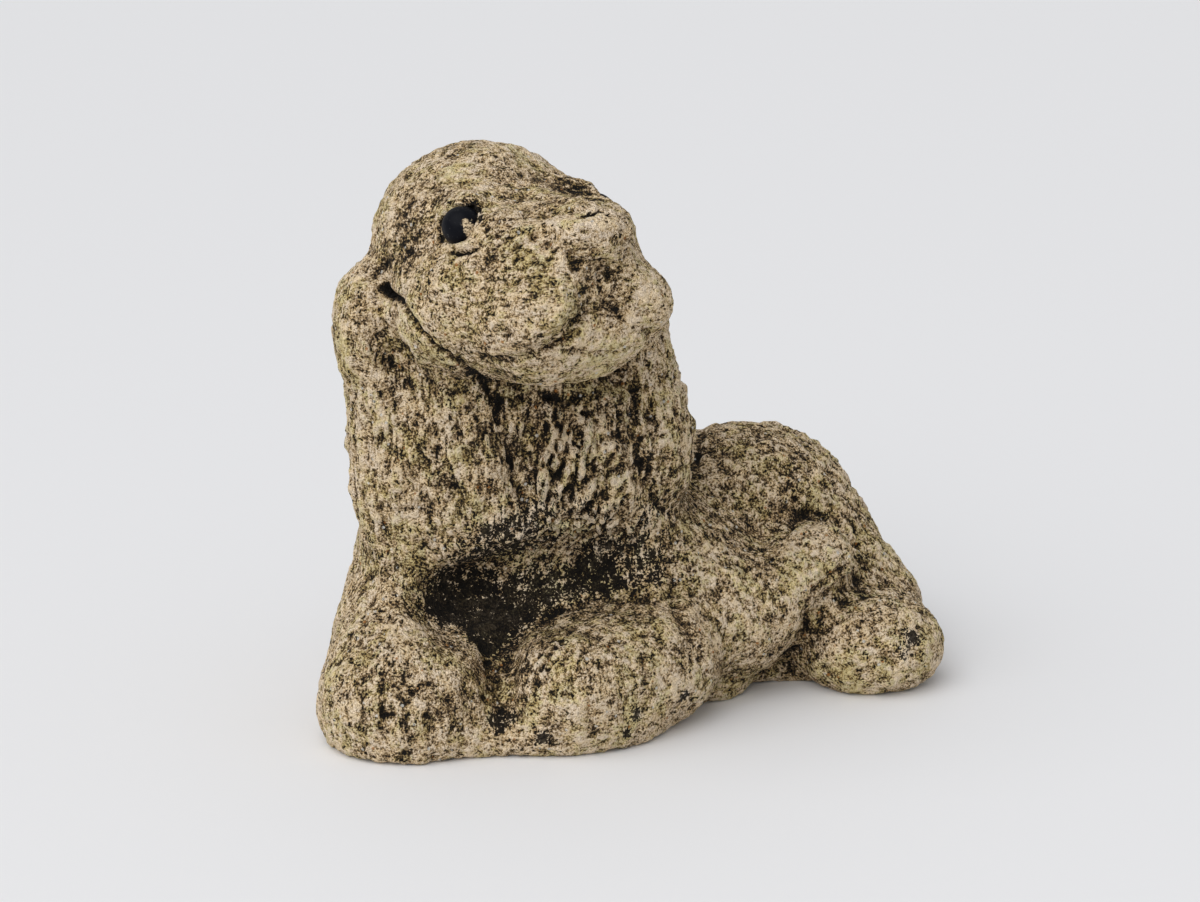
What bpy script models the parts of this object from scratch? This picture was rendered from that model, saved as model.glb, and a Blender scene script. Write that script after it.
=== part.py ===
"""Stone garden ornament: a spaniel puppy lying with its head turned, cast in one piece, with glass eyes.

The casting is modelled as a sculptor works in clay. Rounded lumps are pressed together, hollows are
pressed out, and creases and locks of hair are combed in along strokes. The places and sizes of lumps
and strokes are in hundredths of the figure's height, so the carving keeps its proportions.
+Z is up, the front paws point to -Y, and the dog's own left side is at +X.
"""

import math

import bmesh
import bpy
import numpy as np
from mathutils import Euler, Matrix, Vector

for old in list(bpy.data.objects):
    bpy.data.objects.remove(old)

# Driving sizes, in metres
FIGURE_HEIGHT = 0.225
EYE_DIAMETER = 0.015
EYE_CLEARANCE = 0.0003

# The share of each eye's diameter that stands out of its lids: the left one sits deeper
LEFT_EYE_STANDING_OUT = 0.26
RIGHT_EYE_STANDING_OUT = 0.46

# The head's place on the neck, in hundredths of the height, and its turn in degrees
HEAD_PLACE = (-25.3, -15.6, 81.6)
HEAD_YAW = 35
HEAD_PITCH = 25

# An eye's place on the head: to the side, forward and up, in hundredths of the height
EYE_PLACE = (12.2, 17.6, -1.6)

# How finely the shapes are meshed: grains in hundredths of the height, and counts
ROUGH_GRAIN = 1.8
FINE_GRAIN = 1.0
CASTING_TRIANGLES = 8750
EYE_SEGMENTS = 20
EYE_RINGS = 12

STONE_COLOUR = (0.42, 0.36, 0.25, 1.0)
STONE_ROUGHNESS = 0.92
EYE_COLOUR = (0.008, 0.01, 0.016, 1.0)
EYE_ROUGHNESS = 0.25


def turned_axes(turn):
    """Rows are a lump's own axes, for a turn in degrees about X, Y and Z."""
    return np.array(Euler([math.radians(angle) for angle in turn]).to_matrix()).T


def head_axes():
    """Rows are the head's own axes: to its left, forward out of the nose, and up out of the crown."""
    yaw = math.radians(HEAD_YAW)
    pitch = math.radians(HEAD_PITCH)
    left = Vector((math.cos(yaw), math.sin(yaw), 0))
    level = Vector((math.sin(yaw), -math.cos(yaw), 0))
    forward = level * math.cos(pitch) + Vector((0, 0, math.sin(pitch)))
    up = forward.cross(left)
    return np.array([left, forward, up])


HEAD = head_axes()


def on_head(left, forward, up):
    """A place on the head, given along its own axes, as a place in the figure."""
    return np.array(HEAD_PLACE) + np.array([left, forward, up]) @ HEAD


class Lump:
    """An ellipsoid of clay."""

    adds = True

    def __init__(self, at, size, turn=(0, 0, 0), blend=6.0, on=None):
        self.size = np.array(size, float)
        self.axes = turned_axes(turn)
        self.at = np.array(at, float)
        self.blend = blend
        if on == "head":
            self.at = on_head(*at)
            self.axes = self.axes @ HEAD

    def distance(self, points):
        own = (points - self.at) @ self.axes.T / self.size
        near = np.linalg.norm(own, axis=1)
        steep = np.linalg.norm(own / self.size, axis=1)
        return near * (near - 1) / np.maximum(steep, 1e-9)

    def mesh_into(self, bm):
        place = Matrix.Translation(Vector(self.at)) @ Matrix(self.axes.T.tolist()).to_4x4()
        place = place @ Matrix.Diagonal((*self.size, 1))
        bmesh.ops.create_icosphere(bm, subdivisions=3, radius=1, matrix=place)


class Hollow(Lump):
    """An ellipsoid pressed out of the clay."""

    adds = False


class Limb:
    """A tapering roll of clay with round ends."""

    adds = True

    def __init__(self, start, end, start_radius, end_radius, blend=6.0, on=None):
        self.start = np.array(start, float)
        self.end = np.array(end, float)
        if on == "head":
            self.start = on_head(*start)
            self.end = on_head(*end)
        self.radii = (start_radius, end_radius)
        self.blend = blend

    def distance(self, points):
        along = self.end - self.start
        share = np.clip((points - self.start) @ along / (along @ along), 0, 1)
        radius = self.radii[0] + share * (self.radii[1] - self.radii[0])
        return np.linalg.norm(points - self.start - share[:, None] * along, axis=1) - radius

    def mesh_into(self, bm):
        steps = 6
        for step in range(steps + 1):
            share = step / steps
            radius = self.radii[0] + share * (self.radii[1] - self.radii[0])
            centre = Vector(self.start + share * (self.end - self.start))
            place = Matrix.Translation(centre) @ Matrix.Diagonal((radius, radius, radius, 1))
            bmesh.ops.create_icosphere(bm, subdivisions=2, radius=1, matrix=place)


class Furrow:
    """A deep round-bottomed groove pressed out along a path, half as deep at its ends."""

    adds = False

    def __init__(self, path, radius, blend=1.5):
        radii = [radius / 2] + [radius] * (len(path) - 2) + [radius / 2]
        self.legs = [Limb(*leg) for leg in zip(path, path[1:], radii, radii[1:])]
        self.blend = blend

    def distance(self, points):
        return np.min([leg.distance(points) for leg in self.legs], axis=0)


class Stroke:
    """A fine groove combed along a path, or a ridge where the depth is below nought."""

    def __init__(self, path, width, depth, fade=0.25):
        self.path = np.array(path, float)
        self.width = width
        self.depth = depth
        self.fade = fade

    def sink(self, points):
        """How far this stroke takes each point inward."""
        legs = np.diff(self.path, axis=0)
        lengths = np.linalg.norm(legs, axis=1)
        so_far = np.concatenate([[0], np.cumsum(lengths)]) / lengths.sum()
        nearest = np.full(len(points), np.inf)
        place = np.zeros(len(points))
        for start, leg, first, last in zip(self.path, legs, so_far, so_far[1:]):
            share = np.clip((points - start) @ leg / (leg @ leg), 0, 1)
            away = np.linalg.norm(points - start - share[:, None] * leg, axis=1)
            closer = away < nearest
            nearest[closer] = away[closer]
            place[closer] = (first + share * (last - first))[closer]
        strength = np.exp(-((nearest / self.width) ** 2))
        if self.fade:
            strength *= 0.2 + 0.8 * np.clip(np.minimum(place, 1 - place) / self.fade, 0, 1)
        return self.depth * strength


def soft_union(a, b, blend):
    lean = np.maximum(blend - np.abs(a - b), 0) / blend
    return np.minimum(a, b) - lean * lean * blend / 4


def clay_distance(points, groups):
    """How far points are outside the clay. Each group is (its blend with the others, its lumps)."""
    whole = None
    for blend, lumps in groups:
        part = None
        for lump in lumps:
            if lump.adds:
                own = lump.distance(points)
                part = own if part is None else soft_union(part, own, lump.blend)
        if part is not None:
            whole = part if whole is None else soft_union(whole, part, blend)
        for lump in lumps:
            if not lump.adds:
                whole = -soft_union(-whole, lump.distance(points), lump.blend)
    return whole


def slope(points, groups, reach=0.05):
    """The clay's outward direction at each point."""
    found = np.empty_like(points)
    for axis in range(3):
        step = np.zeros(3)
        step[axis] = reach
        found[:, axis] = clay_distance(points + step, groups) - clay_distance(points - step, groups)
    return found / np.maximum(np.linalg.norm(found, axis=1), 1e-9)[:, None]


def onto_clay(points, groups):
    """The nearest places on the clay's surface."""
    points = np.array(points, float)
    for _ in range(4):
        points = points - slope(points, groups) * clay_distance(points, groups)[:, None]
    return points


def body_lumps():
    """Ribs, rump, thighs, hind feet and tail."""
    return [
        Lump((3, 2, 9), (31, 20, 27), turn=(0, 0, 38), blend=8),
        Lump((20, 16, 18), (23, 19, 24.5), turn=(0, 0, 20), blend=7),
        Limb((26, 17, 24), (42, 9, 9), 15, 12, blend=7),
        Lump((29, 3, 5), (13, 8, 10), blend=5),
        Limb((20, -8, 14), (33.5, -3, 22.5), 10, 7.3, blend=3),
        Lump((43, -3, 7), (13.5, 12, 9.8), blend=2.5),
        Lump((11, -9, 16), (12, 11, 14), blend=7),
        Lump((17, 25, 13), (16, 12, 21), turn=(0, 0, 10), blend=6),
        Lump((33, 29, 4), (11, 8, 6), blend=4),
        Limb((30, 33, 20), (44, 28, 5), 5, 3.6, blend=2),
    ]


def column_lumps():
    """Chest and neck."""
    return [
        Lump((-19, -7, 38), (25, 20, 33), blend=10),
        Limb((-20, -6, 40), (-24, -10, 72), 22, 16, blend=10),
        Lump((-32, -10, 20), (16, 16, 26), blend=8),
        Lump((-7, -15, 45), (15, 13, 17), blend=6),
    ]


def leg_lumps():
    """Forelegs, paws, the bed of stone between them, the ledge behind the elbow and the
    hollows under the chest."""
    return [
        Limb((3.4, -22, 10.5), (-10, -31.5, 9), 12, 12.5, blend=4),
        Limb((-35, -18, 14), (-37.5, -31.3, 6), 16, 15.4, blend=4),
        Lump((-22, -31.5, 2), (20, 10.8, 7), blend=4),
        Lump((-4, -29.5, 3), (9.6, 9, 6.5), blend=4),
        Lump((14.5, -10, 1), (5, 4, 3), blend=2),
        Hollow((-24, -32, 24), (12.5, 12, 7), blend=5),
        Hollow((-8, -31, 27), (14, 12, 6.5), blend=5),
    ]


def head_lumps():
    """Skull, bridge, nose, lower jaw, and on each side cheek, flew, jaw, brow and cheekbone."""
    lumps = [
        Lump((0, 0, 0), (18.2, 18.4, 17.4), on="head"),
        Lump((0, 21.5, -12.5), (13, 12.5, 10), on="head", blend=7),
        Limb((0, 14, -1), (0, 30, -6), 6, 4.5, on="head", blend=5),
        Lump((0, 34, -8.5), (6.5, 4, 4.5), on="head", blend=3),
        Lump((0, 20, -22.5), (9.5, 9.5, 5), on="head", blend=3),
    ]
    for side in (-1, 1):
        lumps += [
            Lump((side * 12, 9, -11.6), (9.5, 14, 10.5), on="head", blend=6),
            Lump((side * 8.3, 22.5, -18.5), (8.7, 10.5, 7.4), on="head", blend=4),
            Limb((side * 8.5, 4, -17), (side * 4, 18, -21), 5.6, 6, on="head", blend=5),
            Lump((side * 10.2, 16, 2.6), (4, 3.4, 2.1), on="head", blend=6),
            Lump((side * 9.5, 22, -4.8), (4.5, 6, 4.5), on="head", blend=5),
        ]
    lumps.append(Hollow((0, 37, -18.5), (5, 5.5, 5), on="head", blend=4))
    return lumps


def near_ear_lumps():
    """The ear on the dog's own right: its fold, its flap and the hair behind it."""
    return [
        Lump((-43.2, -20, 68.5), (7, 10, 11.8), blend=4),
        Lump((-33, -24, 48), (15, 6.5, 20), turn=(0, 0, -20), blend=6),
        Lump((-40, -16, 44), (8, 12, 25), blend=5),
        Hollow((-40.4, -29, 76), (1.4, 3, 1.7), blend=1.2),
    ]


def far_ear_lumps():
    """The ear on the dog's own left."""
    return [
        Limb((-9, -4, 77), (0, -9, 67), 5, 5.4, blend=4),
        Lump((-4.8, -1, 69), (6, 9, 11), turn=(0, 35, 0), blend=5),
        Lump((1.4, -11, 63), (5.3, 10, 12), blend=4),
        Lump((6, -12, 50.5), (5.4, 10, 14), turn=(0, -10, 0), blend=4),
    ]


def clay_groups():
    return [
        (10, body_lumps()),
        (10, column_lumps()),
        (5, leg_lumps()),
        (4, head_lumps()),
        (2, near_ear_lumps()),
        (2, far_ear_lumps()),
    ]


def eye_seats(groups, unit):
    """Each eye's centre and outward direction, seated in the clay."""
    seats = []
    for side, standing_out in ((1, LEFT_EYE_STANDING_OUT), (-1, RIGHT_EYE_STANDING_OUT)):
        left, forward, up = EYE_PLACE
        surface = onto_clay([on_head(side * left, forward, up)], groups)
        outward = slope(surface, groups)[0]
        sunk = (0.5 - standing_out) * EYE_DIAMETER / unit
        seats.append((surface[0] - outward * sunk, outward))
    return seats


def head_strokes():
    """Lips, the parting under the nose, nostrils and the crease of the chin."""
    chin = [on_head(left, 29.5 - left * left / 40, -24.4) for left in (-7, -3.5, 0, 3.5, 7)]
    strokes = [
        Stroke([on_head(0, 37, -13), on_head(0, 33.5, -16)], 1.3, 1.3, fade=0),
        Stroke(chin, 1.1, 1.1),
    ]
    lip = [(1.5, 32.5, -18), (3.4, 31.8, -20), (6.5, 31.6, -22), (9.5, 29.6, -23.6), (12, 26, -24.2),
           (14.5, 20, -23)]
    nostril = [(3.4, 37, -11.2), (5, 35.2, -12.4)]
    for side in (-1, 1):
        strokes.append(Stroke([on_head(side * left, forward, up) for left, forward, up in lip], 1.4, 2.0))
        nose = [on_head(side * left, forward, up) for left, forward, up in nostril]
        strokes.append(Stroke(nose, 1.3, 1.6, fade=0))
    return strokes


def lid_strokes(seats, unit):
    """A raised rim of stone around each eye, heavier above it."""
    strokes = []
    up = HEAD[2]
    ring = (EYE_DIAMETER / 2 + EYE_CLEARANCE) / unit + 0.9
    for centre, outward in seats:
        across = np.cross(up, outward)
        across /= np.linalg.norm(across)
        upright = np.cross(outward, across)
        for first, last, width, depth in ((-10, 190, 1.3, -1.1), (180, 360, 1.0, -0.6)):
            angles = np.radians(np.linspace(first, last, 13))
            rim = [centre + ring * (math.cos(a) * across + math.sin(a) * upright) for a in angles]
            strokes.append(Stroke(rim, width, depth, fade=0.1))
    return strokes


def locks(corners, count, width, depth, wave, groups, bends=1.5):
    """Wavy grooves combed side by side down a patch, whose corners are its top and bottom ends."""
    top_start, top_end, bottom_start, bottom_end = (np.array(corner, float) for corner in corners)
    strokes = []
    for lock in range(count):
        share = (lock + 0.5) / count
        top = top_start + share * (top_end - top_start)
        bottom = bottom_start + share * (bottom_end - bottom_start)
        across = (top_end - top_start) / np.linalg.norm(top_end - top_start)
        path = []
        for step in range(9):
            down = step / 8
            bend = wave * math.sin(math.pi * (2 * bends * down + 0.7 * lock))
            path.append(top + down * (bottom - top) + across * bend)
        strokes.append(Stroke(onto_clay(path, groups), width, depth))
    return strokes


def hair_strokes(groups):
    """Locks on the ears, the chest, the neck and the rump."""
    near_ear = ((-46, -25.5, 57), (-28, -30, 57), (-42, -26, 30), (-20.5, -29.5, 37))
    fold = ((-47.5, -26, 71), (-40.5, -28, 71), (-46, -26, 60), (-35, -28, 60))
    bib = ((-17.5, -27.5, 56), (0, -22, 56), (-18.5, -25, 31), (4, -19.5, 30))
    far_ear = ((3, -20.5, 61), (8, -19, 60), (5.5, -20.5, 41), (10.5, -18.5, 41))
    side_of_far_ear = ((9, -17, 62), (7, -4, 64), (13, -18, 41), (12, -6, 41))
    nape = ((-42, 4, 74), (-8, 2, 74), (-44, 12, 34), (4, 14, 38))
    rump = ((12, 34, 34), (34, 30, 34), (10, 38, 10), (40, 34, 8))
    side_of_ear = ((-52, -22, 68), (-52, -8, 68), (-50, -22, 24), (-50, -8, 26))
    return (
        locks(near_ear, 5, 1.3, 1.2, 0.7, groups)
        + locks(fold, 2, 1.2, 0.9, 0.3, groups, bends=0.5)
        + locks(bib, 5, 1.4, 1.4, 0.8, groups)
        + locks(far_ear, 2, 1.1, 1.0, 0.4, groups)
        + locks(side_of_far_ear, 3, 1.3, 1.0, 0.7, groups)
        + locks(nape, 6, 1.8, 1.2, 1.2, groups)
        + locks(rump, 4, 1.6, 1.0, 0.8, groups, bends=1)
        + locks(side_of_ear, 3, 1.3, 1.0, 0.7, groups)
    )


def furrows(groups):
    """Deep creases: the ear's front edge, the thigh, the hind foot and the parting of the paws."""
    ear_edge = [(-38.5, -29, 74), (-36, -32, 69), (-31.5, -33, 63.5), (-26.6, -31, 58.7), (-19.5, -30, 50),
                (-17.8, -29, 40)]
    thigh = [(28, -1, 28.5), (30, 1, 30), (33, 2.5, 31), (37, 3, 29), (40, 0.5, 26), (41.5, -3, 21.5)]
    hind_foot = [(41.5, -3, 21), (39, -8.5, 18.5), (35, -11, 17), (32, -11, 13), (30.5, -9, 7)]
    paws = [(-21, -29, 17), (-21, -33, 15), (-21, -36, 13), (-21, -40, 9)]
    return [
        Furrow(onto_clay(ear_edge, groups), 1.2),
        Furrow(onto_clay(thigh, groups), 1.5, blend=2),
        Furrow(onto_clay(hind_foot, groups), 1.3, blend=2),
        Furrow(onto_clay(paws, groups), 0.8, blend=5),
    ]


def elbow_strokes(groups):
    """The shallow crease between the left upper arm and the flank."""
    elbow = [(7, -18.5, 26), (6.8, -25.2, 22.5), (9.5, -30, 19), (13, -31, 15), (15, -29, 10)]
    return [Stroke(onto_clay(elbow, groups), 1.6, 0.7)]


def remeshed(mesh, kind, weights=None, **settings):
    """A mesh passed through one modifier, which may be given weights by vertex."""
    work = bpy.data.objects.new("work", mesh)
    bpy.context.scene.collection.objects.link(work)
    modifier = work.modifiers.new("work", kind)
    if weights is not None:
        plain = work.vertex_groups.new(name="plain")
        for index, weight in enumerate(weights):
            plain.add([index], weight, "REPLACE")
        modifier.vertex_group = plain.name
    for name, value in settings.items():
        setattr(modifier, name, value)
    result = bpy.data.meshes.new_from_object(work.evaluated_get(bpy.context.evaluated_depsgraph_get()))
    bpy.data.objects.remove(work)
    bpy.data.meshes.remove(mesh)
    return result


def blocked_out(groups):
    """The lumps as one closed mesh."""
    bm = bmesh.new()
    for _, lumps in groups:
        for lump in lumps:
            if lump.adds:
                lump.mesh_into(bm)
    mesh = bpy.data.meshes.new("clay")
    bm.to_mesh(mesh)
    bm.free()
    return remeshed(mesh, "REMESH", mode="VOXEL", voxel_size=ROUGH_GRAIN)


def mesh_points(mesh):
    points = np.empty(len(mesh.vertices) * 3)
    mesh.vertices.foreach_get("co", points)
    return points.reshape(-1, 3)


def neighbour_means(mesh, points):
    """Each vertex's mean of its neighbours."""
    ends = np.empty(len(mesh.edges) * 2, np.int32)
    mesh.edges.foreach_get("vertices", ends)
    ends = ends.reshape(-1, 2)
    total = np.zeros_like(points)
    count = np.zeros(len(points))
    for a, b in ((0, 1), (1, 0)):
        np.add.at(total, ends[:, a], points[ends[:, b]])
        np.add.at(count, ends[:, a], 1)
    return total / count[:, None]


def settle(mesh, groups, relaxing):
    """Moves the mesh's vertices onto the clay's blended surface."""
    points = mesh_points(mesh)
    for relax in relaxing:
        points = points + relax * (neighbour_means(mesh, points) - points)
        points = points - slope(points, groups) * clay_distance(points, groups)[:, None]
    mesh.vertices.foreach_set("co", points.ravel())
    mesh.update()


def carve(mesh, groups, strokes):
    points = mesh_points(mesh)
    sink = sum(stroke.sink(points) for stroke in strokes)
    points = points - slope(points, groups) * sink[:, None]
    mesh.vertices.foreach_set("co", points.ravel())
    mesh.update()


def cut_flat(mesh):
    """Cuts the casting's flat underside."""
    bm = bmesh.new()
    bm.from_mesh(mesh)
    whole = bm.verts[:] + bm.edges[:] + bm.faces[:]
    cut = bmesh.ops.bisect_plane(bm, geom=whole, plane_co=(0, 0, 0), plane_no=(0, 0, -1), clear_outer=True)
    rim = [edge for edge in cut["geom_cut"] if isinstance(edge, bmesh.types.BMEdge)]
    bmesh.ops.holes_fill(bm, edges=rim, sides=0)
    bmesh.ops.recalc_face_normals(bm, faces=bm.faces)
    bm.to_mesh(mesh)
    bm.free()


def material(name, colour, roughness):
    made = bpy.data.materials.new(name)
    made.use_nodes = True
    shader = made.node_tree.nodes["Principled BSDF"]
    shader.inputs["Base Color"].default_value = colour
    shader.inputs["Roughness"].default_value = roughness
    shader.inputs["Metallic"].default_value = 0.0
    return made


def ball(name, centre, outward, radius):
    """A ball whose poles lie along the direction in which the eye looks."""
    bm = bmesh.new()
    turn = Vector(outward).to_track_quat("Z", "Y").to_matrix().to_4x4()
    place = Matrix.Translation(Vector(centre)) @ turn
    counts = {"u_segments": EYE_SEGMENTS, "v_segments": EYE_RINGS}
    bmesh.ops.create_uvsphere(bm, radius=radius, matrix=place, **counts)
    mesh = bpy.data.meshes.new(name)
    bm.to_mesh(mesh)
    bm.free()
    made = bpy.data.objects.new(name, mesh)
    bpy.context.scene.collection.objects.link(made)
    return made


groups = clay_groups()
groups.append((1, furrows(groups)))
clay = blocked_out(groups)
settle(clay, groups, (0.5, 0.5, 0.4, 0.2))
clay = remeshed(clay, "REMESH", mode="VOXEL", voxel_size=FINE_GRAIN)
settle(clay, groups, (0.4, 0.2, 0.0))

unit = FIGURE_HEIGHT / mesh_points(clay)[:, 2].max()
seats = eye_seats(groups, unit)
strokes = head_strokes() + lid_strokes(seats, unit) + elbow_strokes(groups) + hair_strokes(groups)
carve(clay, groups, strokes)
triangles = sum(len(face.vertices) - 2 for face in clay.polygons)
from_face = np.linalg.norm(mesh_points(clay) - on_head(0, 26, -12), axis=1)
plainness = 1 - 0.9 * np.exp(-((from_face / 17) ** 2))
clay = remeshed(clay, "DECIMATE", plainness, ratio=CASTING_TRIANGLES / triangles, vertex_group_factor=1)
cut_flat(clay)

# The figure stands with the middle of its footprint at the origin
unit = FIGURE_HEIGHT / mesh_points(clay)[:, 2].max()
points = mesh_points(clay) * unit
footprint_centre = (points.min(axis=0) + points.max(axis=0)) / 2 * np.array([1, 1, 0])
clay.vertices.foreach_set("co", (points - footprint_centre).ravel())
clay.update()
clay.name = "spaniel_casting"
casting = bpy.data.objects.new("spaniel_casting", clay)
bpy.context.scene.collection.objects.link(casting)
clay.materials.append(material("cast_stone", STONE_COLOUR, STONE_ROUGHNESS))

for name, (centre, outward) in zip(("left_eye", "right_eye"), seats):
    centre = centre * unit - footprint_centre
    eye = ball(name, centre, outward, EYE_DIAMETER / 2)
    eye.data.shade_smooth()
    eye.data.materials.append(material(name + "_glass", EYE_COLOUR, EYE_ROUGHNESS))
    socket = ball(name + "_socket", centre, outward, EYE_DIAMETER / 2 + EYE_CLEARANCE)
    socket.hide_render = True
    socket.display_type = "WIRE"
    cut = casting.modifiers.new(name + "_socket", "BOOLEAN")
    cut.operation = "DIFFERENCE"
    cut.solver = "EXACT"
    cut.object = socket
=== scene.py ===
import math

import bmesh
import bpy
import numpy as np
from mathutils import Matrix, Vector, noise
from mathutils.bvhtree import BVHTree
from mathutils.kdtree import KDTree


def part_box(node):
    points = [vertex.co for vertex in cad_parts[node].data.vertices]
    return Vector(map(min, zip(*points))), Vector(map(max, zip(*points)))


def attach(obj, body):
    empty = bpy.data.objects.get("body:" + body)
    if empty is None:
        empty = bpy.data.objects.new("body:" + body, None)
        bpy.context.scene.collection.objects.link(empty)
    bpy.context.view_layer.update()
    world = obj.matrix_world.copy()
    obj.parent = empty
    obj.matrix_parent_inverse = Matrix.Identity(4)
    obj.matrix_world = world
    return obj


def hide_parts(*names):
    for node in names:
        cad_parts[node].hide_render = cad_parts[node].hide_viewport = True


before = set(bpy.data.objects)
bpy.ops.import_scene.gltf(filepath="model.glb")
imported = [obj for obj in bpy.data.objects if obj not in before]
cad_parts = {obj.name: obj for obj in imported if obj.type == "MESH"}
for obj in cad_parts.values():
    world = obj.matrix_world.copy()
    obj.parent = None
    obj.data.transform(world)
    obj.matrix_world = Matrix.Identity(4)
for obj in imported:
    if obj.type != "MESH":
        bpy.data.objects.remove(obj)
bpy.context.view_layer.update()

# The photograph's camera: a long lens a little above the ornament, looking along +Y.
# Pixels below are the photograph's own, and each stands for the place on the stone that it shows.
PHOTO_SIZE = (1200, 902)
LENS = 85
SENSOR = 36
LOOKING_DOWN = math.radians(15)
CAMERA_AWAY = 1.133
LOOKED_AT = Vector((-0.0157, 0.0172, 0.0944))

BACK = Vector((0, -math.cos(LOOKING_DOWN), math.sin(LOOKING_DOWN)))
PICTURE_UP = Vector((0, math.sin(LOOKING_DOWN), math.cos(LOOKING_DOWN)))
camera_place = LOOKED_AT + BACK * CAMERA_AWAY
lens = bpy.data.cameras.new("camera")
lens.lens = LENS
lens.sensor_width = SENSOR
camera = bpy.data.objects.new("camera", lens)
camera.location = camera_place
camera.rotation_euler = BACK.to_track_quat("Z", "Y").to_euler()
bpy.context.scene.collection.objects.link(camera)
bpy.context.scene.camera = camera
bpy.context.scene.view_settings.view_transform = "Standard"

# The studio: a seamless pale sheet under the ornament, a diffused ceiling that lights from above,
# the left and the front, a weak soft box beside the camera, and pale walls all round.
SHEET_WIDTH = 14.0
SHEET_COLOUR = (0.83, 0.83, 0.84, 1)
WALL_COLOUR = (0.97, 0.98, 1.0, 1)
WALL_LIGHT = 0.50
CEILING_FROM = (-0.55, -0.62, 1.0)
CEILING_LIGHT = 1.75
CEILING_SPREAD = math.radians(70)
BOX_PLACE = (-0.5, -1.5, 0.9)
BOX_WIDTH = 0.9
BOX_LIGHT = 3.0


class Socket:
    """A node's output, on which sums write their own nodes."""

    def __init__(self, recipe, output):
        self.recipe = recipe
        self.output = output

    def sum(self, operation, first, second):
        return self.recipe.node("ShaderNodeMath", {"operation": operation}, {0: first, 1: second})

    def __add__(self, other):
        return self.sum("ADD", self, other)

    def __radd__(self, other):
        return self.sum("ADD", other, self)

    def __mul__(self, other):
        return self.sum("MULTIPLY", self, other)

    def __rmul__(self, other):
        return self.sum("MULTIPLY", other, self)

    def __sub__(self, other):
        return self.sum("SUBTRACT", self, other)

    def __rsub__(self, other):
        return self.sum("SUBTRACT", other, self)

    def between(self, low, high, way="SMOOTHSTEP"):
        """0 below low, 1 above high and a ramp between them."""
        sockets = {"Value": self, "From Min": low, "From Max": high}
        return self.recipe.node("ShaderNodeMapRange", {"interpolation_type": way}, sockets)


class Recipe:
    """A material's nodes, made one after the other."""

    def __init__(self, name):
        self.material = bpy.data.materials.new(name)
        self.material.use_nodes = True
        self.tree = self.material.node_tree
        self.shader = self.tree.nodes["Principled BSDF"]
        self.place = self.node("ShaderNodeTexCoord", out="Object")

    def node(self, kind, settings=None, sockets=None, out=0):
        """One node: its settings, a ramp's stops among them, then values or links by socket."""
        made = self.tree.nodes.new(kind)
        for name, value in (settings or {}).items():
            if name == "stops":
                made.color_ramp.elements.remove(made.color_ramp.elements[1])
                made.color_ramp.elements[0].color = value[0][1]
                for at, colour in value[1:]:
                    made.color_ramp.elements.new(at).color = colour
            else:
                setattr(made, name, value)
        for name, value in (sockets or {}).items():
            self.feed(made.inputs[name], value)
        return Socket(self, made.outputs[out])

    def feed(self, socket, value):
        if isinstance(value, Socket):
            self.tree.links.new(value.output, socket)
        else:
            socket.default_value = value

    def shade(self, **values):
        """Feeds the shader's own sockets."""
        for name, value in values.items():
            self.feed(self.shader.inputs[name.replace("_", " ")], value)

    def painted(self, name):
        """A value that the mesh carries at each of its points."""
        return self.node("ShaderNodeAttribute", {"attribute_name": name}, out="Fac")

    def moved(self, shift, drawn=(1, 1, 1)):
        """The place on the object, shifted so that patterns differ and scaled to draw one out."""
        offset = (shift, -shift, shift / 2)
        spot = self.node("ShaderNodeVectorMath", {"operation": "ADD"}, {0: self.place, 1: offset})
        return self.node("ShaderNodeVectorMath", {"operation": "MULTIPLY"}, {0: spot, 1: drawn})

    def cloud(self, size, detail=2.0, rough=0.5, shift=0.0, drawn=(1, 1, 1)):
        """Soft random values, from 0 to 1, with blots of one size in metres."""
        sockets = {"Vector": self.moved(shift, drawn), "Scale": 1 / size}
        sockets.update({"Detail": detail, "Roughness": rough})
        return self.node("ShaderNodeTexNoise", {"normalize": True}, sockets, "Fac")

    def grains(self, size, out, shift=0.0):
        """Packed grains of one size, in metres."""
        sockets = {"Vector": self.moved(shift), "Scale": 1 / size}
        return self.node("ShaderNodeTexVoronoi", {}, sockets, out)

    def mixed(self, share, first, second, way="MIX"):
        """Two colours mixed: the mixer's sockets 6 and 7, with its result at output 2."""
        settings = {"data_type": "RGBA", "blend_type": way, "clamp_factor": True}
        return self.node("ShaderNodeMix", settings, {0: share, 6: first, 7: second}, 2)

    def toned(self, value, stops):
        """Colours that follow a value, from the first stop to the last."""
        first, last = stops[0][0], stops[-1][0]
        spread = [((at - first) / (last - first), colour) for at, colour in stops]
        share = value.between(first, last, "LINEAR")
        return self.node("ShaderNodeValToRGB", {"stops": spread}, {0: share})

    def relief(self, height, depth):
        """The normal that a height of 0 to 1 gives when 1 is this many metres."""
        return self.node("ShaderNodeBump", {}, {"Distance": depth, "Height": height}, "Normal")


bm = bmesh.new()
bmesh.ops.create_grid(bm, x_segments=1, y_segments=1, size=SHEET_WIDTH / 2)
sheet_mesh = bpy.data.meshes.new("paper_sheet")
bm.to_mesh(sheet_mesh)
bm.free()
sheet = bpy.data.objects.new("paper_sheet", sheet_mesh)
bpy.context.scene.collection.objects.link(sheet)
paper = Recipe("pale_paper")
paper.shade(Base_Color=SHEET_COLOUR, Roughness=0.8)
sheet_mesh.materials.append(paper.material)

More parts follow.
